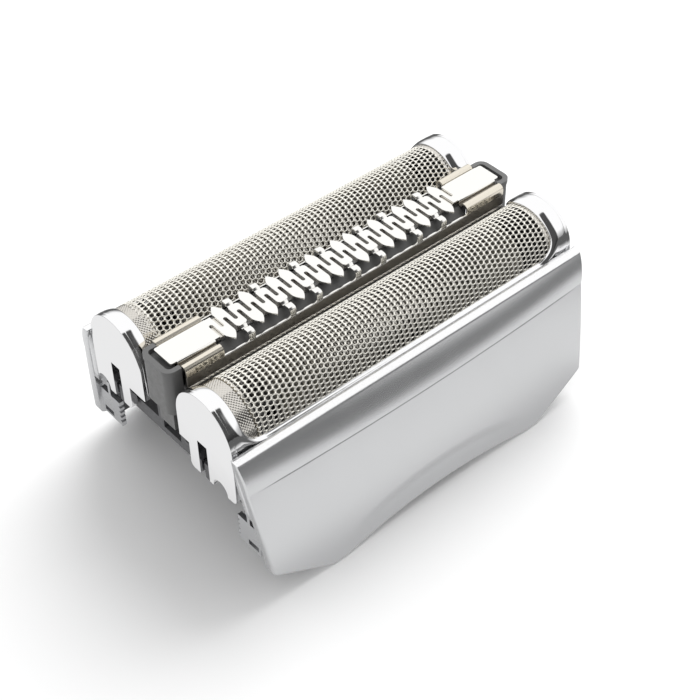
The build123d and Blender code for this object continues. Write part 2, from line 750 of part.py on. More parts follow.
rear_pieces = {
    "cover": make_cover(),
    "latch_strip": make_latch_strip(),
    "foil_springs": make_foil_springs(),
    "foil_carrier": make_foil_carrier(),
    "foil": make_foil(),
    "cutter_carrier": make_cutter_carrier(),
    "cutter_blades": make_cutter_blades(),
    "cutter_spring": make_cutter_spring(),
    "drive_coupler": make_drive_coupler(),
}
nodes = {
    "chassis_frame": make_chassis(),
    "trimmer_springs": make_trimmer_springs(),
    "trimmer_holder": make_trimmer_holder(),
    "trimmer_comb": make_trimmer_comb(),
    "trimmer_slider": make_trimmer_slider(),
    "trimmer_blade": make_trimmer_blade(),
}
for name, piece in rear_pieces.items():
    nodes["rear_" + name] = piece
    nodes["front_" + name] = to_front(piece)
nodes["front_foil_carrier"] = turned_to_front(nodes["rear_foil_carrier"])
nodes["front_cutter_carrier"] += to_front(make_trimmer_peg())

for name, solid in nodes.items():
    export_step(solid, "parts/" + name + ".step")
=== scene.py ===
import json
import math

import bmesh
import bpy
from mathutils import Matrix, Vector


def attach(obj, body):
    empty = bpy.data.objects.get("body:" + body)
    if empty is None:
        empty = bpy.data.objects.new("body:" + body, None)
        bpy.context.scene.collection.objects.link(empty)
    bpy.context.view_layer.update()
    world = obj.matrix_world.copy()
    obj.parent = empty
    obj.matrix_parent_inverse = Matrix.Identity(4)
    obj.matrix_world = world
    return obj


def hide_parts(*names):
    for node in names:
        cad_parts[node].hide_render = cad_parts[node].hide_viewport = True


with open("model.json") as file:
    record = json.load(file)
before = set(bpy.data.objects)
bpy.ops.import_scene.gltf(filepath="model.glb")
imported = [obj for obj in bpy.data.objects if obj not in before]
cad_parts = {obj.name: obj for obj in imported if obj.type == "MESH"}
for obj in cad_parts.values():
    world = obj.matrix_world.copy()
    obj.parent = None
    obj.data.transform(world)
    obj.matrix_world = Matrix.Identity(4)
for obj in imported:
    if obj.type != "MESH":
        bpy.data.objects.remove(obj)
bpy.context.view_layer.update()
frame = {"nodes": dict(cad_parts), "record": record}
nodes = frame["nodes"]

MM = 0.001
heads = (("front", -1), ("rear", 1))    # the two shaving heads, each with the side it stands on

# Sizes shared with the solids, in millimetres
head_y = 6.85
arch_z = 17.05
foil_radius = 3.82
foil_wall = 0.1
foil_half = 20.78
foil_tail = 2.4
foil_arc = math.pi * foil_radius / 2 + foil_tail    # round a foil from its top to its lower edge

# Foil mesh
cell_pitch_x = 0.61
cell_pitch_arc = 0.50
cell_point = 0.41
hole_point = 0.265
hole_half = 0.183
hole_rows = 22
hole_columns = 62
hole_shift = {"front": 0.5, "rear": 0.3}
bar_crown = 0.075
bar_shoulder = (0.09, 0.05)   # width of the round beside a hole, along the foil and round it
shoulder_share = 0.2          # share of the crown outside that round
dimple_depth = 0.05
dimple_share = 0.5            # size of a dimple to a hole
first_hole_angle = 5.0
knurl_pitch = 0.17
knurl_depth = 0.045
knurl_tuck = 2                # columns of the knurl that lie under the last holes

# Cutter blades
blade_radius = 3.58
blade_inner = 2.62
blade_wall = 0.17
blade_count = 52
blade_reach = 15.4            # to the ends of the cutter's flange
blade_base_z = 14.2
blade_steps = 20

# Trimmer comb
comb_top_z = 21.0
comb_sheet = 0.2
comb_plate_half = 1.36
comb_half = 2.75
comb_end_x = 20.8
comb_wall_x = 20.15
comb_wall_bottom_z = 18.5
comb_edge_round = 0.03
window_sill_z = 19.9
tooth_pitch = 1.624
tooth_count = 18
tooth_shift = 0.42
tooth_reach = 2.46
tooth_shoulder = 1.35
tooth_curve = 1.7
tooth_tip = 0.02
slot_width = 0.4
slot_end = 0.47
slot_mouth = 1.0
leg_width = 0.72
leg_places = (1, 4, 6, 9, 11, 14, 16)
bar_y = 2.21
bar_radius = 0.54
bar_drop = 0.05

# Foil carriers
carrier_radius = 4.15
carrier_wall = 0.3
carrier_half = 21.68
carrier_end_wall = 0.73
carrier_end_inset = 0.02
carrier_skin_half = 21.36
carrier_edge = 0.26
carrier_low = 9.47            # round the arch from its top to the rails' lower edges
window_half = 19.62
window_shift = -0.27
window_long = 20.3            # half the window's length beside the trimmer
window_turn = -3.2            # round the arch to where the window starts to lengthen
window_turn_length = 1.8
window_out = 6.32             # round the arch from its top to the window's outer and inner edges
window_in = -8.27
window_corner = 2.2
slot_shift = 0.57
guide_half = 0.7
guide_top = -1.95
shoulder = -3.35
foot = -6.35
thin_leg = 1.4
foot_round = 0.55
scallop_offset = 2.48
scallop_shift = 0.72
scallop_radius = 1.05
scallop_z = -6.15
spring_shelf = (3.65, -2.85, -2.05, 1.75)    # half width, lower and upper side, and length
shelf_lip = (3.0, -2.1, -1.6, 0.5)
ledge_gap = 0.15              # between the ledge and the end walls

# Covers
cover_half = 22.0
cover_rail = (11.22, 17.2)    # y and z of the top rail's inner edge, then of its outer edge
cover_edge = (12.2, 16.88)
rail_slope = 0.5              # even share of the rail's fall; the rest comes past its bend
rail_bend = 0.9
rail_bend_rate = 50
rail_round = 0.05
rail_round_rate = 0.7
crease_z = 13.65
crease_y = 13.0
crease_bow = 0.6
cover_foot = (15.35, -1.0)
cover_foot_bow = 0.3
cover_upper_bulge = 0.2
cover_lower_bulge = 0.18
cover_wall = 1.0
cover_end_depth = 1.8
cover_end_x = 20.95
cover_end_low_z = 9.7
cover_end_drop = 0.15         # from the rail down to the top of the thick end
cover_end_inset = 0.02
cover_end_overlap = 0.1
cover_corner = (20.75, 3.3)
cover_corner_round = 0.7
cover_foot_x = (12.6, 14.0)
cover_arch = 1.0
cover_round = 0.16
cover_hem = 0.25
groove_depth = 0.03
groove_width = 0.18
groove_half = 20.8
groove_fade = 3.0
groove_lean = 6.0
scoop_half = 12.3
scoop_top = 4.8
scoop_curve = 0.35
scoop_depth = 0.36
scoop_slope = 1.35            # height over which the scoop sinks in

# Noise that the materials use, and depth of their relief
noise_range = (0.3, 0.7)
bump_depth = 0.02


# Material helpers

def new_material(name):
    material = bpy.data.materials.new(name)
    material.use_nodes = True
    return material, material.node_tree.nodes, material.node_tree.links


def shader(material_nodes, colour, metallic, roughness):
    principled = material_nodes["Principled BSDF"]
    principled.inputs["Base Color"].default_value = (*colour, 1.0)
    principled.inputs["Metallic"].default_value = metallic
    principled.inputs["Roughness"].default_value = roughness
    return principled


def object_noise(material_nodes, links, scale, detail, stretch):
    coords = material_nodes.new("ShaderNodeTexCoord")
    mapping = material_nodes.new("ShaderNodeMapping")
    mapping.inputs["Scale"].default_value = stretch
    noise = material_nodes.new("ShaderNodeTexNoise")
    noise.inputs["Scale"].default_value = scale
    noise.inputs["Detail"].default_value = detail
    links.new(coords.outputs["Object"], mapping.inputs["Vector"])
    links.new(mapping.outputs["Vector"], noise.inputs["Vector"])
    return noise.outputs["Fac"]


def spread(material_nodes, links, source, low, high):
    """Maps a noise to a range of values."""
    ranger = material_nodes.new("ShaderNodeMapRange")
    ranger.inputs["From Min"].default_value = noise_range[0]
    ranger.inputs["From Max"].default_value = noise_range[1]
    ranger.inputs["To Min"].default_value = low
    ranger.inputs["To Max"].default_value = high
    links.new(source, ranger.inputs["Value"])
    return ranger.outputs["Result"]


def add_bump(material_nodes, links, height, principled, strength):
    bump = material_nodes.new("ShaderNodeBump")
    bump.inputs["Strength"].default_value = strength
    bump.inputs["Distance"].default_value = bump_depth * MM
    links.new(height, bump.inputs["Height"])
    links.new(bump.outputs["Normal"], principled.inputs["Normal"])


def surface_material(name, colour, metallic, roughness, scale, rough_spread, bump,
                     stretch=(1.0, 1.0, 1.0), detail=4.0):
    """A metal, paint or plastic with a fine noise in its roughness, and in its relief if it has a bump."""
    material, material_nodes, links = new_material(name)
    principled = shader(material_nodes, colour, metallic, roughness)
    noise = object_noise(material_nodes, links, scale, detail, stretch)
    rough = spread(material_nodes, links, noise, roughness - rough_spread, roughness + rough_spread)
    links.new(rough, principled.inputs["Roughness"])
    if bump:
        add_bump(material_nodes, links, noise, principled, bump)
    return material


chrome = surface_material("plated_chrome", (0.90, 0.90, 0.905), 1.0, 0.07, 700.0, 0.03, 0.5, detail=1.0)
foil_metal = surface_material("foil_nickel", (0.98, 0.955, 0.88), 0.8, 0.24, 2500.0, 0.06, 0.05)
# Darker copy of the foil nickel on the knurled margins: painted shade.
knurl_shade_metal = surface_material("knurl_painted_shade_nickel", (0.68, 0.655, 0.61), 1.0, 0.14, 2500.0, 0.06, 0.05)
# Darker copy of the foil nickel on the hole walls and underside: painted shade in the holes.
foil_hole_shade_metal = surface_material("foil_hole_painted_shade_nickel", (0.62, 0.59, 0.53), 1.0, 0.4, 2500.0, 0.06, 0.05)
comb_metal = surface_material("comb_steel", (0.93, 0.92, 0.89), 1.0, 0.18, 2000.0, 0.05, 0.03,
                              stretch=(0.2, 1.0, 1.0))
# Warmer, darker copy of the comb steel on the end rails: the warm tone is the nickel's own, the darkness is a
# painted reflection of the dark surroundings.
warm_shaded_bar_metal = surface_material("comb_bar_warm_steel_painted_reflection", (0.81, 0.76, 0.66), 1.0, 0.2, 2000.0, 0.05, 0.1,
                             stretch=(0.1, 1.0, 1.0))
# Darker copy of the comb steel on the side walls and groove bottoms: painted shade.
comb_wall_shade_metal = surface_material("comb_wall_painted_shade_steel", (0.36, 0.34, 0.31), 1.0, 0.42, 2000.0, 0.08, 0.05)
blade_metal = surface_material("blade_steel", (0.83, 0.80, 0.74), 1.0, 0.36, 2000.0, 0.06, 0.1)
spring_metal = surface_material("spring_steel", (0.6, 0.6, 0.6), 1.0, 0.28, 2000.0, 0.06, 0.0)
cover_paint = surface_material("cover_silver_paint", (0.735, 0.74, 0.75), 0.8, 0.26, 300.0, 0.012, 0.0,
                               detail=1.0)
# Brighter copy of the cover paint on the top rail: painted highlight.
rail_highlight_paint = surface_material("cover_rail_painted_highlight", (0.90, 0.90, 0.905), 0.8, 0.22, 900.0, 0.03, 0.0)
dark_plastic = surface_material("chassis_plastic", (0.075, 0.075, 0.08), 0.0, 0.45, 2500.0, 0.08, 0.1)
holder_plastic = surface_material("holder_plastic", (0.125, 0.125, 0.124), 0.0, 0.36, 2500.0, 0.08, 0.08)
# Darker satin steel in place of the latch strips' plating: painted shade on the tabs.
latch_shade_metal = surface_material("latch_steel_painted_shade", (0.55, 0.555, 0.565), 1.0, 0.3, 600.0, 0.08, 0.5, detail=2.0)
lining_plastic = surface_material("lining_plastic", (0.09, 0.09, 0.088), 0.0, 0.45, 2500.0, 0.08, 0.1)
cutter_plastic = surface_material("cutter_plastic", (0.28, 0.28, 0.275), 0.0, 0.5, 2000.0, 0.06, 0.08)

slot_materials = {
    "cover_silver": cover_paint,
    "chrome": chrome,
    "foil_nickel": foil_metal,
    "comb_steel": comb_metal,
    "blade_steel": blade_metal,
    "spring_steel": spring_metal,
    "chassis_plastic": dark_plastic,
    "holder_plastic": holder_plastic,
    "cutter_plastic": cutter_plastic,
}


# Dressing of the CAD nodes

def add_bevel(piece, width, segments, angle):
    edge = piece.modifiers.new("edge", "BEVEL")
    edge.width = width * MM
    edge.segments = segments
    edge.limit_method = "ANGLE"
    edge.angle_limit = math.radians(angle)


def even_normals(piece):
    """Keeps the shading flat on flats beside rounded edges."""
    smooth = piece.modifiers.new("smooth", "WEIGHTED_NORMAL")
    smooth.keep_sharp = True


def dress(node, material, bevel):
    """A better material and a small bevel on a CAD node."""
    node.data.materials.clear()
    node.data.materials.append(material)
    node.data.shade_smooth()
    if bevel:
        add_bevel(node, bevel, 2, 40)
    even_normals(node)


bevels = {
    "trimmer_holder": 0.1, "chassis_frame": 0.08, "front_latch_strip": 0.05, "rear_latch_strip": 0.05,
}
for entry in frame["record"]["subparts"]:
    name = entry["node"]
    # Latch strips take the darker steel, painted shade, in place of their slot's material.
    material = latch_shade_metal if name.endswith("latch_strip") else slot_materials[entry["material_slot"]]
    dress(nodes[name], material, bevels.get(name, 0))


# Shape helpers

def between(start, end, share):
    """A place part of the way from one place to another."""
    return tuple(first + (second - first) * share for first, second in zip(start, end))


def eased(value):
    """A value eased from 0 to 1 and held at both."""
    share = min(1.0, max(0.0, value))
    return share ** 2 * (3 - 2 * share)


def arc_points(centre_x, centre_y, radius, start, end, steps):
    """Points on a circle from one angle to another, in degrees."""
    points = []
    for step in range(steps + 1):
        angle = math.radians(start + (end - start) * step / steps)
        points.append((centre_x + radius * math.cos(angle), centre_y + radius * math.sin(angle)))
    return points


def arch_place(radius, rise, arc):
    """A place over an arch and its straight legs, in Y and Z about its centre; arc runs from the top."""
    quarter = math.pi * radius / 2
    if abs(arc) <= quarter:
        angle = arc / radius
        return (radius + rise) * math.sin(angle), (radius + rise) * math.cos(angle)
    return math.copysign(radius + rise, arc), quarter - abs(arc)


# Mesh helpers

def grid_faces(form, rows, closed=False, slot=0):
    """Four-sided faces between rows of points, each row run round to its start if it is closed."""
    for first, second in zip(rows, rows[1:]):
        count = len(first)
        for i in range(count if closed else count - 1):
            j = (i + 1) % count
            corners = []
            for corner in (first[i], first[j], second[j], second[i]):
                if corner not in corners:
                    corners.append(corner)
            if len(corners) > 2:
                form.faces.new(corners).material_index = slot


def close_rings(form, rings, slot=0):
    """The sides between rings of points, with a flat face on the first and on the last."""
    grid_faces(form, rings, closed=True, slot=slot)
    for ring in (rings[0], rings[-1]):
        form.faces.new(ring).material_index = slot


def shaped(name, form, flat_slots=()):
    """Turns a finished form into a mesh with its faces turned outwards, smooth but in the flat slots."""
    bmesh.ops.recalc_face_normals(form, faces=form.faces)
    for face in form.faces:
        face.smooth = face.material_index not in flat_slots
    mesh = bpy.data.meshes.new(name)
    form.to_mesh(mesh)
    form.free()
    return mesh


def add_piece(name, mesh, body, materials, replaced):
    for material in materials:
        mesh.materials.append(material)
    piece = bpy.data.objects.new(name, mesh)
    bpy.context.scene.collection.objects.link(piece)
    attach(piece, body)
    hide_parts(replaced)
    return piece


# Foils: a sheet of six-sided cells, open where the foil is perforated, with knurled ends

def foil_point(x, arc, depth, side):
    """A place on a foil; arc runs from the top, outwards positive."""
    y, z = arch_place(foil_radius, -depth, arc)
    return (x * MM, side * (head_y + y) * MM, (arch_z + z) * MM)


def cell_ring(x, arc, point, flat, half):
    """A six-sided ring with points along the foil and flats across it."""
    return [
        (x + point, arc), (x + flat, arc + half), (x - flat, arc + half),
        (x - point, arc), (x - flat, arc - half), (x + flat, arc - half),
    ]


def add_knurl(sheet, side, near, far):
    """A knurled margin at a foil's end: fine pyramids in diamond rows, tucked under the last holes."""
    columns = math.ceil(abs(far - near) / knurl_pitch)
    rows = math.ceil(2 * foil_arc / knurl_pitch)
    lines = []
    for column in range(columns + 1):
        x = near + (far - near) * column / columns
        line = []
        for row in range(rows + 1):
            arc = foil_arc * (2 * row / rows - 1)
            depth = knurl_depth * ((column + row) % 2) if column > knurl_tuck else foil_wall
            line.append(sheet.verts.new(foil_point(x, arc, depth, side)))
        lines.append(line)
    for column in range(columns):
        for row in range(rows):
            here, above = lines[column][row], lines[column][row + 1]
            beside, across = lines[column + 1][row], lines[column + 1][row + 1]
            if (column + row) % 2:
                halves = ((here, above, across), (here, across, beside))
            else:
                halves = ((here, above, beside), (above, across, beside))
            for half in halves:
                # Knurl faces take the darker nickel: painted shade.
                sheet.faces.new(half).material_index = 2


def make_foil(name, side, shift):
    """The sheet of one foil, in slots for its bars, the edges of its holes in darker nickel as painted shade,
    and the knurl in darker nickel as painted shade.
    """
    sheet = bmesh.new()
    cache = {}
    half_pitch = cell_pitch_arc / 2
    holes_half = hole_columns * cell_pitch_x / 2

    def verts(ring, depth):
        made = []
        for x, arc in ring:
            arc = max(-foil_arc, min(foil_arc, arc))
            key = (round(x, 4), round(arc, 4), round(depth, 4))
            if key not in cache:
                cache[key] = sheet.verts.new(foil_point(x, arc, depth, side))
            made.append(cache[key])
        return made

    def face(corners, slot=0):
        unique = []
        for corner in corners:
            if corner not in unique:
                unique.append(corner)
        if len(unique) > 2 and sheet.faces.get(unique) is None:
            sheet.faces.new(unique).material_index = slot

    def join(outer, inner, slot=0):
        for i in range(6):
            j = (i + 1) % 6
            face([outer[i], outer[j], inner[j], inner[i]], slot)

    def hole_ring(x, arc, share=1.0, wider=(0.0, 0.0)):
        point = hole_point * share + wider[0]
        return cell_ring(x, arc, point, point / 2, hole_half * share + wider[1])

    top_row = math.radians(90 - first_hole_angle) * foil_radius
    columns = int(foil_half / cell_pitch_x) + 2
    rows = int(2 * foil_arc / cell_pitch_arc) + 2
    for column in range(-columns, columns + 1):
        x = (column + 0.5) * cell_pitch_x
        if abs(x - shift) > holes_half:
            continue
        for row in range(-rows, rows):
            arc = top_row - row * cell_pitch_arc - column % 2 * half_pitch
            if abs(arc) > foil_arc + half_pitch:
                continue
            outline = cell_ring(x, arc, cell_point, cell_pitch_x - cell_point, half_pitch)
            top = verts(outline, 0.0)
            below = verts(outline, foil_wall)
            if 0 <= row < hole_rows:
                lip = verts(hole_ring(x, arc), bar_crown)
                crown = verts(hole_ring(x, arc, wider=bar_shoulder), bar_crown * shoulder_share)
                under = verts(hole_ring(x, arc), foil_wall)
                join(top, crown)
                join(crown, lip)
                # Hole walls and underside take the darker nickel: painted shade.
                join(lip, under, 1)
                join(under, below, 1)
            else:
                floor = verts(hole_ring(x, arc, dimple_share), dimple_depth)
                join(top, floor)
                face(floor)
                face(below)
    for end in (-1, 1):
        add_knurl(sheet, side, shift + end * (holes_half - cell_point), end * foil_half)
    return shaped(name, sheet, [2])


for label, side in heads:
    mesh = make_foil(label + "_foil_mesh", side, hole_shift[label])
    add_piece(label + "_foil_sheet", mesh, label + "_foil_head", [foil_metal, foil_hole_shade_metal, knurl_shade_metal],
              label + "_foil")


# Cutter blades: a close stack of thin arches

def make_blades(name, side):
    stack = bmesh.new()
    leg = blade_base_z - arch_z
    pitch = (2 * blade_reach - blade_wall) / (blade_count - 1)

    def ring(radius, x):
        line = [(radius, leg), *arc_points(0, 0, radius, 0, 180, blade_steps), (-radius, leg)]
        return [stack.verts.new((x * MM, (side * head_y + y) * MM, (arch_z + z) * MM)) for y, z in line]

    for index in range(blade_count):
        x = (index - (blade_count - 1) / 2) * pitch
        left, right = x - blade_wall / 2, x + blade_wall / 2
        corners = ((blade_radius, left), (blade_radius, right), (blade_inner, right), (blade_inner, left))
        loops = [ring(radius, place) for radius, place in corners]
        grid_faces(stack, loops + loops[:1])
        for end in (0, -1):
            stack.faces.new([loop[end] for loop in loops])
    return shaped(name, stack, [0])


for label, side in heads:
    mesh = make_blades(label + "_blades_mesh", side)
    add_piece(label + "_blade_stack", mesh, label + "_cutter", [blade_metal],
              label + "_cutter_blades")


# Foil carriers: a plated skin with a rim round the window, on two end walls with legs

# The rim of the window: distance from its edge and height over the arch, along the sides and at the ends
side_rim = [
    (0, -0.3), (0.02, -0.28), (0.06, -0.18), (0.10, -0.08), (0.14, 0.02), (0.18, 0.09), (0.23, 0.13),
    (0.31, 0.15), (0.42, 0.14), (0.56, 0.09), (0.70, 0),
]
end_rim = [
    (0, -0.3), (0.02, -0.26), (0.05, -0.20), (0.10, -0.15), (0.20, -0.117), (0.32, -0.082), (0.44, -0.054),
    (0.56, -0.032), (0.68, -0.015), (0.81, -0.004), (0.95, 0),
]
# The skin beyond the rim: share of the way to its outer edge, and drop there
skin_rows = ((0.2, 0), (0.5, 0), (0.85, 0), (1.0, 0.05))
# The section of the ledge along a carrier's outer side, about the arch's centre
ledge = [(4.05, -0.06), (4.16, -0.1), (4.25, -0.15), (4.3, -0.24), (4.3, -0.8), (4.05, -0.8)]


def carrier_point(x, arc, rise, side):
    """A place on a carrier's arch; the front carrier is the rear one turned half round."""
    y, z = arch_place(carrier_radius, rise, arc)
    return (side * x * MM, side * (head_y + y) * MM, (arch_z + z) * MM)


def window_end(right, arc, shift):
    """Where the window ends; it is longer beside the trimmer than over the top."""
    share = eased((window_turn - arc) / window_turn_length)
    return right * (window_half + (window_long - window_half) * share) + shift * (1 - share)


def window_round(side):
    """The window's outline on the unrolled arch: points with their outward normals and places on the edge."""
    points = []
    corners = []
    corner_steps = 12
    side_steps = 40
    shift = side * window_shift
    for right, outer in ((1, 1), (-1, 1), (-1, -1), (1, -1)):
        arc = window_out - window_corner if outer > 0 else window_in + window_corner
        corners.append((window_end(right, arc, shift) - right * window_corner, arc, right, outer))
    for number, (x, arc, right, outer) in enumerate(corners):
        low = outer * carrier_low
        for step in range(corner_steps + 1):
            turn = math.pi / 2 * step / corner_steps
            share = 2 * min(step, corner_steps - step) / corner_steps
            if number % 2:
                turn = math.pi / 2 - turn
            away_x = right * math.cos(turn)
            away_arc = outer * math.sin(turn)
            if away_x * right >= away_arc * outer - 1e-9:
                edge = (right * carrier_skin_half, arc + (low - arc) * share)
            else:
                edge = (x + (right * carrier_skin_half - x) * share, low)
            spot = (x + window_corner * away_x, arc + window_corner * away_arc)
            points.append((spot, (away_x, away_arc), edge))
        far_x, far_arc = corners[(number + 1) % 4][:2]
        for step in range(1, side_steps):
            share = step / side_steps
            if number % 2:
                along = arc + (far_arc - arc) * share
                spot = (window_end(right, along, shift), along)
                points.append((spot, (right, 0), (right * carrier_skin_half, along)))
            else:
                edge_arc = window_out if outer > 0 else window_in
                along = x + (far_x - x) * share
                points.append(((along, edge_arc), (0, outer), (along, low)))
    return points


def make_carrier_skin(name, side):
    skin = bmesh.new()
    points = window_round(side)

    def rim(index, away, axis):
        """The rim's distance or height, from the sides' section round to the ends'."""
        along, at_end = side_rim[index][axis], end_rim[index][axis]
        if axis and away[1] < 0:
            along = min(along, 0.0)
        return along + (at_end - along) * away[0] ** 2

    def beside(index, spot, away):
        return tuple(place + way * rim(index, away, 0) for place, way in zip(spot, away))

    def vertex(place, rise):
        return skin.verts.new(carrier_point(*place, rise, side))

    rows = []
    for index in range(len(side_rim)):
        rows.append([vertex(beside(index, spot, away), rim(index, away, 1)) for spot, away, edge in points])
    for share, drop in skin_rows:
        places = [between(beside(-1, spot, away), edge, share) for spot, away, edge in points]
        rows.append([vertex(place, -drop) for place in places])
    for share in (1.0, 0.5):
        rows.append([vertex(between(spot, edge, share), -carrier_wall) for spot, away, edge in points])
    grid_faces(skin, rows + rows[:1], closed=True)
    return shaped(name, skin)


def end_outline(end):
    """An end wall in Y and Z about the arch's centre: arch, guide slot, thin leg and scalloped foot."""
    radius = carrier_radius - carrier_end_inset
    slot_in = end * slot_shift - guide_half
    slot_out = end * slot_shift + guide_half
    leg_in = slot_in - thin_leg
    scallop = scallop_offset + end * scallop_shift
    round_z = foot + foot_round
    first = 0.0
    points = arc_points(0, 0, radius, 180, 0, 60)
    if scallop + scallop_radius < radius:
        points += arc_points(radius - foot_round, round_z, foot_round, 0, -90, 8)
        points.append((scallop + scallop_radius, foot))
    else:
        first = math.degrees(math.acos((radius - scallop) / scallop_radius))
    points += arc_points(scallop, scallop_z, scallop_radius, first, 180, 16)
    points += [(scallop - scallop_radius, foot), (slot_out, foot), (slot_out, guide_top)]
    points += [(slot_in, guide_top), (slot_in, foot)]
    points += arc_points(leg_in + foot_round, round_z, foot_round, -90, -180, 8)
    return points + [(leg_in, shoulder), (-radius, shoulder)]


def add_prism(form, outline, x_in, x_out, side):
    """A flat outline in Y and Z about the arch's centre, drawn out along X."""
    rings = []
    for x in (x_in, x_out):
        places = [(side * x * MM, side * (head_y + y) * MM, (arch_z + z) * MM) for y, z in outline]
        rings.append([form.verts.new(place) for place in places])
    close_rings(form, rings)


def make_carrier_ends(name, side):
    """The end walls, plated outside and dark inside, with the spring shelves and the plated ledge."""
    ends = bmesh.new()
    inner = carrier_half - carrier_end_wall
    add_prism(ends, end_outline(1), -carrier_half, -inner, side)
    add_prism(ends, end_outline(-1), inner, carrier_half, side)
    for half, low, high, length in (spring_shelf, shelf_lip):
        outline = [(-half, low), (half, low), (half, high), (-half, high)]
        add_prism(ends, outline, inner - length, inner, side)
        add_prism(ends, outline, -inner, length - inner, side)
    for face in ends.faces:
        inside = abs(face.calc_center_median().x) < (inner + carrier_end_inset) * MM
        face.material_index = 1 if inside else 0
    add_prism(ends, ledge, ledge_gap - inner, inner - ledge_gap, side)
    return shaped(name, ends)


for label, side in heads:
    body = label + "_foil_head"
    replaced = label + "_foil_carrier"
    mesh = make_carrier_skin(label + "_skin_mesh", side)
    add_piece(label + "_carrier_skin", mesh, body, [chrome], replaced)
    mesh = make_carrier_ends(label + "_ends_mesh", side)
    ends = add_piece(label + "_carrier_ends", mesh, body, [chrome, lining_plastic], replaced)
    add_bevel(ends, carrier_edge, 4, 40)
    even_normals(ends)


# Covers: smooth bowed shells with a groove along the crease, rounded ends and a soft finger scoop

# Rows of a cover: over the rail, down the band, across the groove and down the face
rail_rows = (0.0, 0.08, 0.3, 0.6, 0.88, 0.93, 0.97)
band_rows = (0.0, 0.02, 0.06, 0.12, 0.2, 0.3, 0.4, 0.5, 0.6, 0.7, 0.8, 0.88, 0.94)
groove_rows = (0.14, 0.09, 0.045, 0.0, -0.045, -0.09, -0.14, -0.3)
face_rows = [step / 40 for step in range(1, 39)] + [0.962, 0.975, 0.985, 0.992, 0.997, 1.0]


def cover_bottom():
    """The lower edge of a cover from its left end to its right, seen from the front, with rounded corners."""
    corner_x, corner_z = cover_corner
    side_way = Vector((cover_half - corner_x, cover_rail[1] - corner_z)).normalized()
    low_way = Vector((cover_foot_x[1] - corner_x, -corner_z)).normalized()
    half_angle = side_way.angle(low_way) / 2
    inwards = (side_way + low_way).normalized()
    middle = Vector(cover_corner) + inwards * cover_corner_round / math.sin(half_angle)
    start = Vector(cover_corner) + low_way * cover_corner_round / math.tan(half_angle) - middle
    turn = math.pi - 2 * half_angle
    inner_foot, outer_foot = ((x, 0.0) for x in cover_foot_x)
    points = []
    for step in range(24):
        x = cover_foot_x[0] * step / 24
        points.append((x, cover_arch * (1 - (x / cover_foot_x[0]) ** 2)))
    points += [between(inner_foot, outer_foot, step / 4) for step in range(4)]
    points += [between(outer_foot, middle + start, step / 10) for step in range(10)]
    for step in range(9):
        spoke = start.copy()
        spoke.rotate(Matrix.Rotation(turn * step / 8, 2))
        points.append(tuple(middle + spoke))
    return [(-x, z) for x, z in reversed(points[1:])] + points


def crease_out(x):
    """How far out the crease stands."""
    return crease_y + crease_bow * (1 - (x / cover_half) ** 2)


def foot_out(x):
    """How far out the lower edge stands."""
    return cover_foot[0] + cover_foot_bow * (1 - (x / cover_half) ** 2)


def cover_low(x, z):
    """How far out the face below the crease stands, with the scoop taken out of it."""
    start = crease_out(x)
    down = (crease_z - z) / (crease_z - cover_foot[1])
    y = start + (foot_out(x) - start) * down + 4 * cover_lower_bulge * down * (1 - down)
    width = max(0.0, 1 - (x / scoop_half) ** 2)
    return y - scoop_depth * width * eased((scoop_top * width ** scoop_curve - z) / scoop_slope)


def cover_high(x, down):
    """A place on the band between the top rail and the crease."""
    dy = crease_out(x) - cover_edge[0]
    dz = crease_z - cover_edge[1]
    bulge = 4 * cover_upper_bulge * down * (1 - down) / math.hypot(dy, dz)
    return cover_edge[0] + dy * down - dz * bulge, cover_edge[1] + dz * down + dy * bulge


def cover_inner(x, z, wall):
    """How far out the inner face stands."""
    crease = crease_out(x) - wall
    if z > crease_z:
        return crease + (cover_rail[0] - crease) * (z - crease_z) / (cover_rail[1] - crease_z)
    return crease + (foot_out(x) - wall - crease) * (crease_z - z) / (crease_z - cover_foot[1])


def rounding(distance, radius):
    """How far a rounded edge falls back, at a distance from the edge."""
    inside = min(radius, radius - distance)
    return radius - math.sqrt(radius ** 2 - inside ** 2) if inside > 0 else 0.0


def groove(x, above):
    """How deep the groove along the crease is, faded out towards its ends."""
    fade = min(1.0, max(0.0, (groove_half - abs(x)) / groove_fade))
    return groove_depth * fade * max(0.0, 1 - 2 * abs(above) / groove_width)


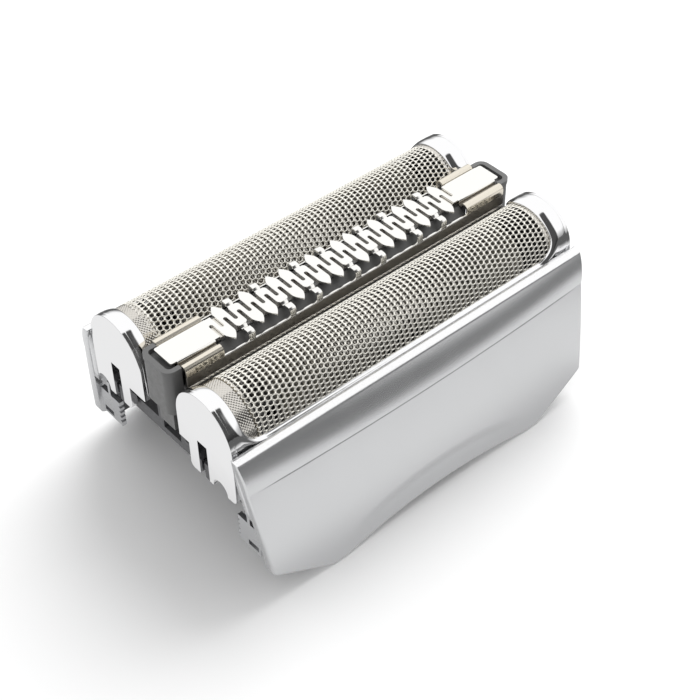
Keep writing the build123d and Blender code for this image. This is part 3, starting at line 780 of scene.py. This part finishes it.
def make_cover(name, side):
    """One cover, with its rail in a slot of its own, in a brighter copy of the paint as a painted highlight.
    """
    cover = bmesh.new()
    bottom = cover_bottom()
    end_x, end_z = bottom[-1]
    outer_rows = []
    inner_rows = []

    def slanted(low_x, low_z, z):
        """Where a column that starts at the lower edge stands at a height, and its distance from the end."""
        share = (z - low_z) / (cover_rail[1] - low_z)
        x = low_x + (cover_half * low_x / end_x - low_x) * share
        return x, (1 - abs(low_x) / end_x) * cover_half

    def on_rail(low_x, low_z, down):
        y = cover_rail[0] + (cover_edge[0] - cover_rail[0]) * down
        fall = rail_slope * down + max(0.0, rail_bend_rate * (down - rail_bend)) ** 2 / rail_bend_rate
        z = cover_rail[1] + (cover_edge[1] - cover_rail[1]) * fall
        z -= rounding(down * rail_round_rate, rail_round)
        x, end = slanted(low_x, low_z, z)
        return x, y, z, rounding(end, cover_round)

    def on_band(low_x, low_z, down):
        middle = slanted(low_x, low_z, cover_edge[1] + (crease_z - cover_edge[1]) * down)
        y, z = cover_high(middle[0], down)
        x, end = slanted(low_x, low_z, z)
        return x, y, z, rounding(end, cover_round)

    def on_groove(low_x, low_z, above):
        z = crease_z + above
        x, end = slanted(low_x, low_z, z)
        y = cover_low(x, min(z, crease_z)) - groove(x, above)
        if above > 0:
            y -= above * (crease_out(x) - cover_edge[0]) / groove_lean
        return x, y, z, rounding(end, cover_round)

    def on_face(low_x, low_z, down):
        top = crease_z + groove_rows[-1]
        z = top + (low_z - top) * down
        x, end = slanted(low_x, low_z, z)
        return x, cover_low(x, z), z, max(rounding(end, cover_round), rounding(z - low_z, cover_hem))

    def vertex(x, y, z):
        return cover.verts.new((x * MM, side * y * MM, z * MM))

    stages = ((on_rail, rail_rows), (on_band, band_rows), (on_groove, groove_rows), (on_face, face_rows))
    for spot, values in stages:
        for value in values:
            outer = []
            inner = []
            for low_x, low_z in bottom:
                x, y, z, drop = spot(low_x, low_z, value)
                back = max(cover_inner(x, z, cover_wall), cover_rail[0])
                outer.append(vertex(x, max(y - drop, back), z))
                inner.append(vertex(x, back, z))
            outer_rows.append(outer)
            inner_rows.append(inner)
    # The rail rows take the brighter paint: painted highlight.
    grid_faces(cover, outer_rows[:len(rail_rows)], slot=1)
    grid_faces(cover, outer_rows[len(rail_rows) - 1:])
    grid_faces(cover, inner_rows)
    for index in (0, -1):
        grid_faces(cover, [[row[index] for row in outer_rows], [row[index] for row in inner_rows]])
        grid_faces(cover, [outer_rows[index], inner_rows[index]])
    for end in (-1, 1):
        rings = []
        for step in range(9):
            z = cover_end_low_z + (cover_rail[1] - cover_end_drop - cover_end_low_z) * step / 8
            out_x = end_x + (cover_half - end_x) * (z - end_z) / (cover_rail[1] - end_z) - cover_end_inset
            ring = []
            for x in (cover_end_x, out_x):
                ring.append(vertex(end * x, cover_inner(x, z, cover_wall) + cover_end_overlap, z))
            for x in (out_x, cover_end_x):
                ring.append(vertex(end * x, cover_inner(x, z, cover_end_depth), z))
            rings.append(ring)
        close_rings(cover, rings)
    return shaped(name, cover)


for label, side in heads:
    mesh = make_cover(label + "_cover_mesh", side)
    piece = add_piece(label + "_cover_shell", mesh, "chassis", [cover_paint, rail_highlight_paint],
                      label + "_cover")
    even_normals(piece)


# Trimmer comb: a slotted plate with pointed teeth, and legs folded over the rails on each side

# The plate's corner: distance from its end, and from its middle
plate_corner = [(0, 1.16), (0.04, 1.28), (0.18, comb_plate_half)]
# Sections in Y and Z: a leg from the plate's edge over the groove and the rail to the sill, the plate's
# folded edge, the bottom of the groove, and the lining behind the windows
leg_fold = [
    (1.2, 21.0), (1.36, 20.98), (1.45, 20.87), (1.54, 20.75), (1.63, 20.71), (1.73, 20.75), (1.82, 20.87),
    (1.91, 20.94), (2.05, 20.95), (2.38, 20.95), (2.54, 20.91), (2.66, 20.82), (2.73, 20.69), (2.75, 20.55),
    (2.75, window_sill_z),
]
lip_fold = [(1.2, 21.0), (1.4, 20.99), (1.48, 20.95), (1.52, 20.86)]
groove_fold = [(1.5, 20.9), (1.53, 20.6), (1.6, 20.52), (1.7, 20.52)]
lining_fold = [(1.4, 20.36), (1.6, 20.32), (2.54, 19.72)]


def tooth_x(index, side):
    return (index - (tooth_count - 1) / 2) * tooth_pitch + side * tooth_shift


def comb_legs(side):
    return leg_places if side < 0 else tuple(tooth_count - 1 - place for place in leg_places)


def comb_edge(side):
    """One edge of the plate, left to right: slots with round ends, pointed teeth and leg roots."""
    radius = slot_width / 2
    half = (tooth_pitch - slot_width) / 2
    leg_root = [(half, 1.08), (half - 0.06, 1.24), (half - 0.2, 1.36), (half - 0.3, 1.38)]
    tooth = []
    for step in range(8):
        reach = tooth_shoulder + (tooth_reach - tooth_shoulder) * step / 8
        tooth.append((half * (1 - (step / 8) ** tooth_curve), reach))
    tooth.append((tooth_tip, tooth_reach))
    points = [(x - comb_end_x, y) for x, y in plate_corner]
    for index in range(tooth_count + 1):
        x = tooth_x(index, side) - tooth_pitch / 2
        points.append((x - radius, comb_plate_half if index == 0 else slot_mouth))
        points += arc_points(x, radius - slot_end, radius, 180, 360, 8)
        points.append((x + radius, comb_plate_half if index == tooth_count else slot_mouth))
        if index < tooth_count:
            middle = tooth_x(index, side)
            shape = leg_root if index in comb_legs(side) else tooth
            points += [(middle - out, y) for out, y in shape]
            points += [(middle + out, y) for out, y in reversed(shape)]
    points += [(comb_end_x - x, y) for x, y in reversed(plate_corner)]
    return [(x, side * y) for x, y in points]


def bar_fold():
    """The section of an end rail: a half-round bar with a straight outer side."""
    middle_z = comb_top_z - bar_drop - bar_radius
    return arc_points(bar_y, middle_z, bar_radius, 180, 0, 12) + [(comb_half, window_sill_z)]


def fold_strip(comb, line, side, start, end, slot):
    """A folded strip of sheet of even thickness between two places along the comb."""
    inner = []
    for index, (y, z) in enumerate(line):
        before = line[max(index - 1, 0)]
        after = line[min(index + 1, len(line) - 1)]
        dy, dz = after[0] - before[0], after[1] - before[1]
        length = math.hypot(dy, dz)
        inner.append((y + dz / length * comb_sheet, z - dy / length * comb_sheet))
    rings = []
    for x in (start, end):
        rings.append([comb.verts.new((x * MM, side * y * MM, z * MM)) for y, z in line + inner[::-1]])
    close_rings(comb, rings, slot)


def make_comb():
    """The comb, in slots for its bright sheet, its walls and groove bottoms in darker steel as painted shade,
    end rails in warm steel darkened as painted reflection, and lining.
    """
    comb = bmesh.new()
    outline = comb_edge(-1) + comb_edge(1)[::-1]
    sheet = []
    for z in (comb_top_z, comb_top_z - comb_sheet):
        sheet.append([comb.verts.new((x * MM, y * MM, z * MM)) for x, y in outline])
    close_rings(comb, sheet)
    sill = window_sill_z
    low = comb_wall_bottom_z
    wall = [(comb_half, sill), (comb_half, low)]
    edge = [(comb_half - 0.2, sill + 0.03), (comb_half - 0.06, sill + 0.03), (comb_half + 0.01, sill - 0.05)]
    hem = [(comb_half, low + 0.16), (comb_half + 0.09, low + 0.06), (comb_half + 0.1, low)]
    for side in (-1, 1):
        first = tooth_x(0, side) - tooth_pitch
        last = tooth_x(tooth_count - 1, side) + tooth_pitch
        for start, end in ((-comb_wall_x, first), (last, comb_wall_x)):
            fold_strip(comb, lip_fold, side, start, end, 0)
            # Groove bottoms take the darker steel: painted shade.
            fold_strip(comb, groove_fold, side, start, end, 1)
            fold_strip(comb, bar_fold(), side, start, end, 2)
        fold_strip(comb, lining_fold, side, first, last, 3)
        for place in comb_legs(side):
            x = tooth_x(place, side)
            fold_strip(comb, leg_fold, side, x - leg_width / 2, x + leg_width / 2, 0)
        # Side walls take the darker steel: painted shade.
        fold_strip(comb, wall, side, -comb_wall_x, comb_wall_x, 1)
        fold_strip(comb, edge, side, first, last, 0)
        fold_strip(comb, hem, side, -comb_wall_x, comb_wall_x, 0)
    return shaped("trimmer_comb_mesh", comb)


comb_piece = add_piece("trimmer_comb_plate", make_comb(), "trimmer_head",
                       [comb_metal, comb_wall_shade_metal, warm_shaded_bar_metal, lining_plastic], "trimmer_comb")
add_bevel(comb_piece, comb_edge_round, 2, 50)
even_normals(comb_piece)


# Floor, room, light and camera, in metres

# Levels as two limits of a distance or height, and the level at each
# In reflections the floor is a painted glow: bright a little way out, falling off further out, and dimmed
# close round the part's footprint as painted shade.
floor_far = (0.02, 0.05, 0.9, 0.12)
floor_near_painted_shade = (0.0, 0.008, 0.62, 1.0)
room_plain = (0.0, 0.5, 0.5, 1.05)
room_mirrored = (0.0, 0.3, 0.45, 1.1)
floor_half = 3.0
floor_spared = (0.022, 0.016, 0)    # the part's own half sizes, from which distances on the floor are taken
# The room has a dark side in front of the part, and a bright window on the right that cuts into it
dark_side = (0.2, -0.849, 0.49)
dark_angles = (50, 56)
dark_plain = 0.3
dark_mirrored = 0.07
window_side = (0.926, -0.222, 0.305)
window_angles = (39, 47)
key_place = (0.22, 0.09, 0.30)
key_target = (0, 0, 0.01)
key_size = 0.36
key_power = 1.1
# The camera, fitted to the photo
camera_azimuth = -40.505
camera_elevation = 43.482
camera_roll = -0.952
camera_distance = 149.301 * MM
camera_target = Vector((0.434, -1.232, 9.281)) * MM
focal_pixels = 1465.441
picture_pixels = 700.0
sensor_width = 36.0


def multiply(tree, first, second):
    node = tree.nodes.new("ShaderNodeMath")
    node.operation = "MULTIPLY"
    tree.links.new(first, node.inputs[0])
    tree.links.new(second, node.inputs[1])
    return node.outputs["Value"]


def soft_step(tree, source, start, end, low, high):
    """Runs smoothly from one level to another as a value goes from start to end."""
    step = tree.nodes.new("ShaderNodeMapRange")
    step.interpolation_type = "SMOOTHSTEP"
    step.inputs["From Min"].default_value = start
    step.inputs["From Max"].default_value = end
    step.inputs["To Min"].default_value = low
    step.inputs["To Max"].default_value = high
    tree.links.new(source, step.inputs["Value"])
    return step.outputs["Result"]


def floor_distance(tree):
    """How far a place on the floor is from the part's box."""
    coords = tree.nodes.new("ShaderNodeTexCoord")
    reach = coords.outputs["Object"]
    for operation, value in (("ABSOLUTE", (0, 0, 0)), ("SUBTRACT", floor_spared), ("MAXIMUM", (0, 0, 0))):
        step = tree.nodes.new("ShaderNodeVectorMath")
        step.operation = operation
        step.inputs[1].default_value = value
        tree.links.new(reach, step.inputs[0])
        reach = step.outputs["Vector"]
    length = tree.nodes.new("ShaderNodeVectorMath")
    length.operation = "LENGTH"
    tree.links.new(reach, length.inputs[0])
    return length.outputs["Value"]


def make_floor():
    """A wide white table; in reflections it glows instead, a painted reflection that is dimmed right round
    the part's footprint as painted shade and falls off with distance.
    """
    mesh = bpy.data.meshes.new("floor")
    corners = [(x * floor_half, y * floor_half, 0) for x, y in ((-1, -1), (1, -1), (1, 1), (-1, 1))]
    mesh.from_pydata(corners, [], [(0, 1, 2, 3)])
    material, material_nodes, links = new_material("floor_white")
    material.cycles.emission_sampling = "NONE"
    tree = material.node_tree
    principled = shader(material_nodes, (0.93, 0.93, 0.93), 0.0, 0.6)
    principled.inputs["Specular IOR Level"].default_value = 0.2
    distance = floor_distance(tree)
    # Emission seen only by glossy rays: painted reflection of the floor.
    floor_painted_glow = material_nodes.new("ShaderNodeEmission")
    level = multiply(tree, soft_step(tree, distance, *floor_far), soft_step(tree, distance, *floor_near_painted_shade))
    links.new(level, floor_painted_glow.inputs["Strength"])
    path = material_nodes.new("ShaderNodeLightPath")
    mix = material_nodes.new("ShaderNodeMixShader")
    links.new(path.outputs["Is Glossy Ray"], mix.inputs["Fac"])
    links.new(principled.outputs["BSDF"], mix.inputs[1])
    links.new(floor_painted_glow.outputs["Emission"], mix.inputs[2])
    links.new(mix.outputs["Shader"], material_nodes["Material Output"].inputs["Surface"])
    mesh.materials.append(material)
    floor = bpy.data.objects.new("floor", mesh)
    bpy.context.scene.collection.objects.link(floor)


def make_world():
    """A white backdrop, with a room that lights the part and is mirrored in it."""
    world = bpy.data.worlds.new("studio")
    bpy.context.scene.world = world
    world.use_nodes = True
    world.cycles.sampling_method = "NONE"
    tree = world.node_tree
    background = tree.nodes["Background"]
    background.inputs["Color"].default_value = (1.0, 1.0, 1.0, 1.0)
    coords = tree.nodes.new("ShaderNodeTexCoord")
    split = tree.nodes.new("ShaderNodeSeparateXYZ")
    tree.links.new(coords.outputs["Generated"], split.inputs["Vector"])
    path = tree.nodes.new("ShaderNodeLightPath")

    def cap(direction, angles, inside, outside):
        """A level inside a cone of directions and another outside it."""
        facing = tree.nodes.new("ShaderNodeVectorMath")
        facing.operation = "DOT_PRODUCT"
        facing.inputs[1].default_value = Vector(direction).normalized()
        tree.links.new(coords.outputs["Generated"], facing.inputs[0])
        near, far = (math.cos(math.radians(angle)) for angle in angles)
        return soft_step(tree, facing.outputs["Value"], far, near, outside, inside)

    def mixed(ray):
        mix = tree.nodes.new("ShaderNodeMix")
        mix.data_type = "FLOAT"
        tree.links.new(path.outputs[ray], mix.inputs["Factor"])
        return mix

    dark = cap(dark_side, dark_angles, 1.0, 0.0)
    shade = multiply(tree, dark, cap(window_side, window_angles, 0.0, 1.0))
    mix = mixed("Is Glossy Ray")
    for socket, heights, darkest in (("A", room_plain, dark_plain), ("B", room_mirrored, dark_mirrored)):
        level = soft_step(tree, split.outputs["Z"], *heights)
        level = multiply(tree, level, soft_step(tree, shade, 0.0, 1.0, 1.0, darkest))
        tree.links.new(level, mix.inputs[socket])
    view = mixed("Is Camera Ray")
    tree.links.new(mix.outputs["Result"], view.inputs["A"])
    view.inputs["B"].default_value = 1.0
    tree.links.new(view.outputs["Result"], background.inputs["Strength"])


def make_light():
    light = bpy.data.lights.new("key", "AREA")
    light.shape = "DISK"
    light.size = key_size
    light.energy = key_power
    lamp = bpy.data.objects.new("key", light)
    bpy.context.scene.collection.objects.link(lamp)
    lamp.visible_glossy = False
    lamp.location = key_place
    lamp.rotation_euler = (Vector(key_target) - Vector(key_place)).to_track_quat("-Z", "Y").to_euler()


def make_camera():
    azimuth, elevation, roll = (math.radians(a) for a in (camera_azimuth, camera_elevation, camera_roll))
    level = math.cos(elevation)
    back = Vector((math.sin(azimuth) * level, -math.cos(azimuth) * level, math.sin(elevation)))
    right = Vector((math.cos(azimuth), math.sin(azimuth), 0))
    up = back.cross(right)
    side = right * math.cos(roll) + up * math.sin(roll)
    head = up * math.cos(roll) - right * math.sin(roll)
    camera = bpy.data.objects.new("camera", bpy.data.cameras.new("camera"))
    camera.data.sensor_width = sensor_width
    camera.data.lens = focal_pixels * sensor_width / picture_pixels
    camera.data.clip_start = 5 * MM
    rotation = Matrix((side, head, back)).transposed().to_4x4()
    camera.matrix_world = Matrix.Translation(camera_target + back * camera_distance) @ rotation
    bpy.context.scene.collection.objects.link(camera)
    bpy.context.scene.camera = camera


make_floor()
make_world()
make_light()
make_camera()
bpy.context.scene.view_settings.view_transform = "Standard"
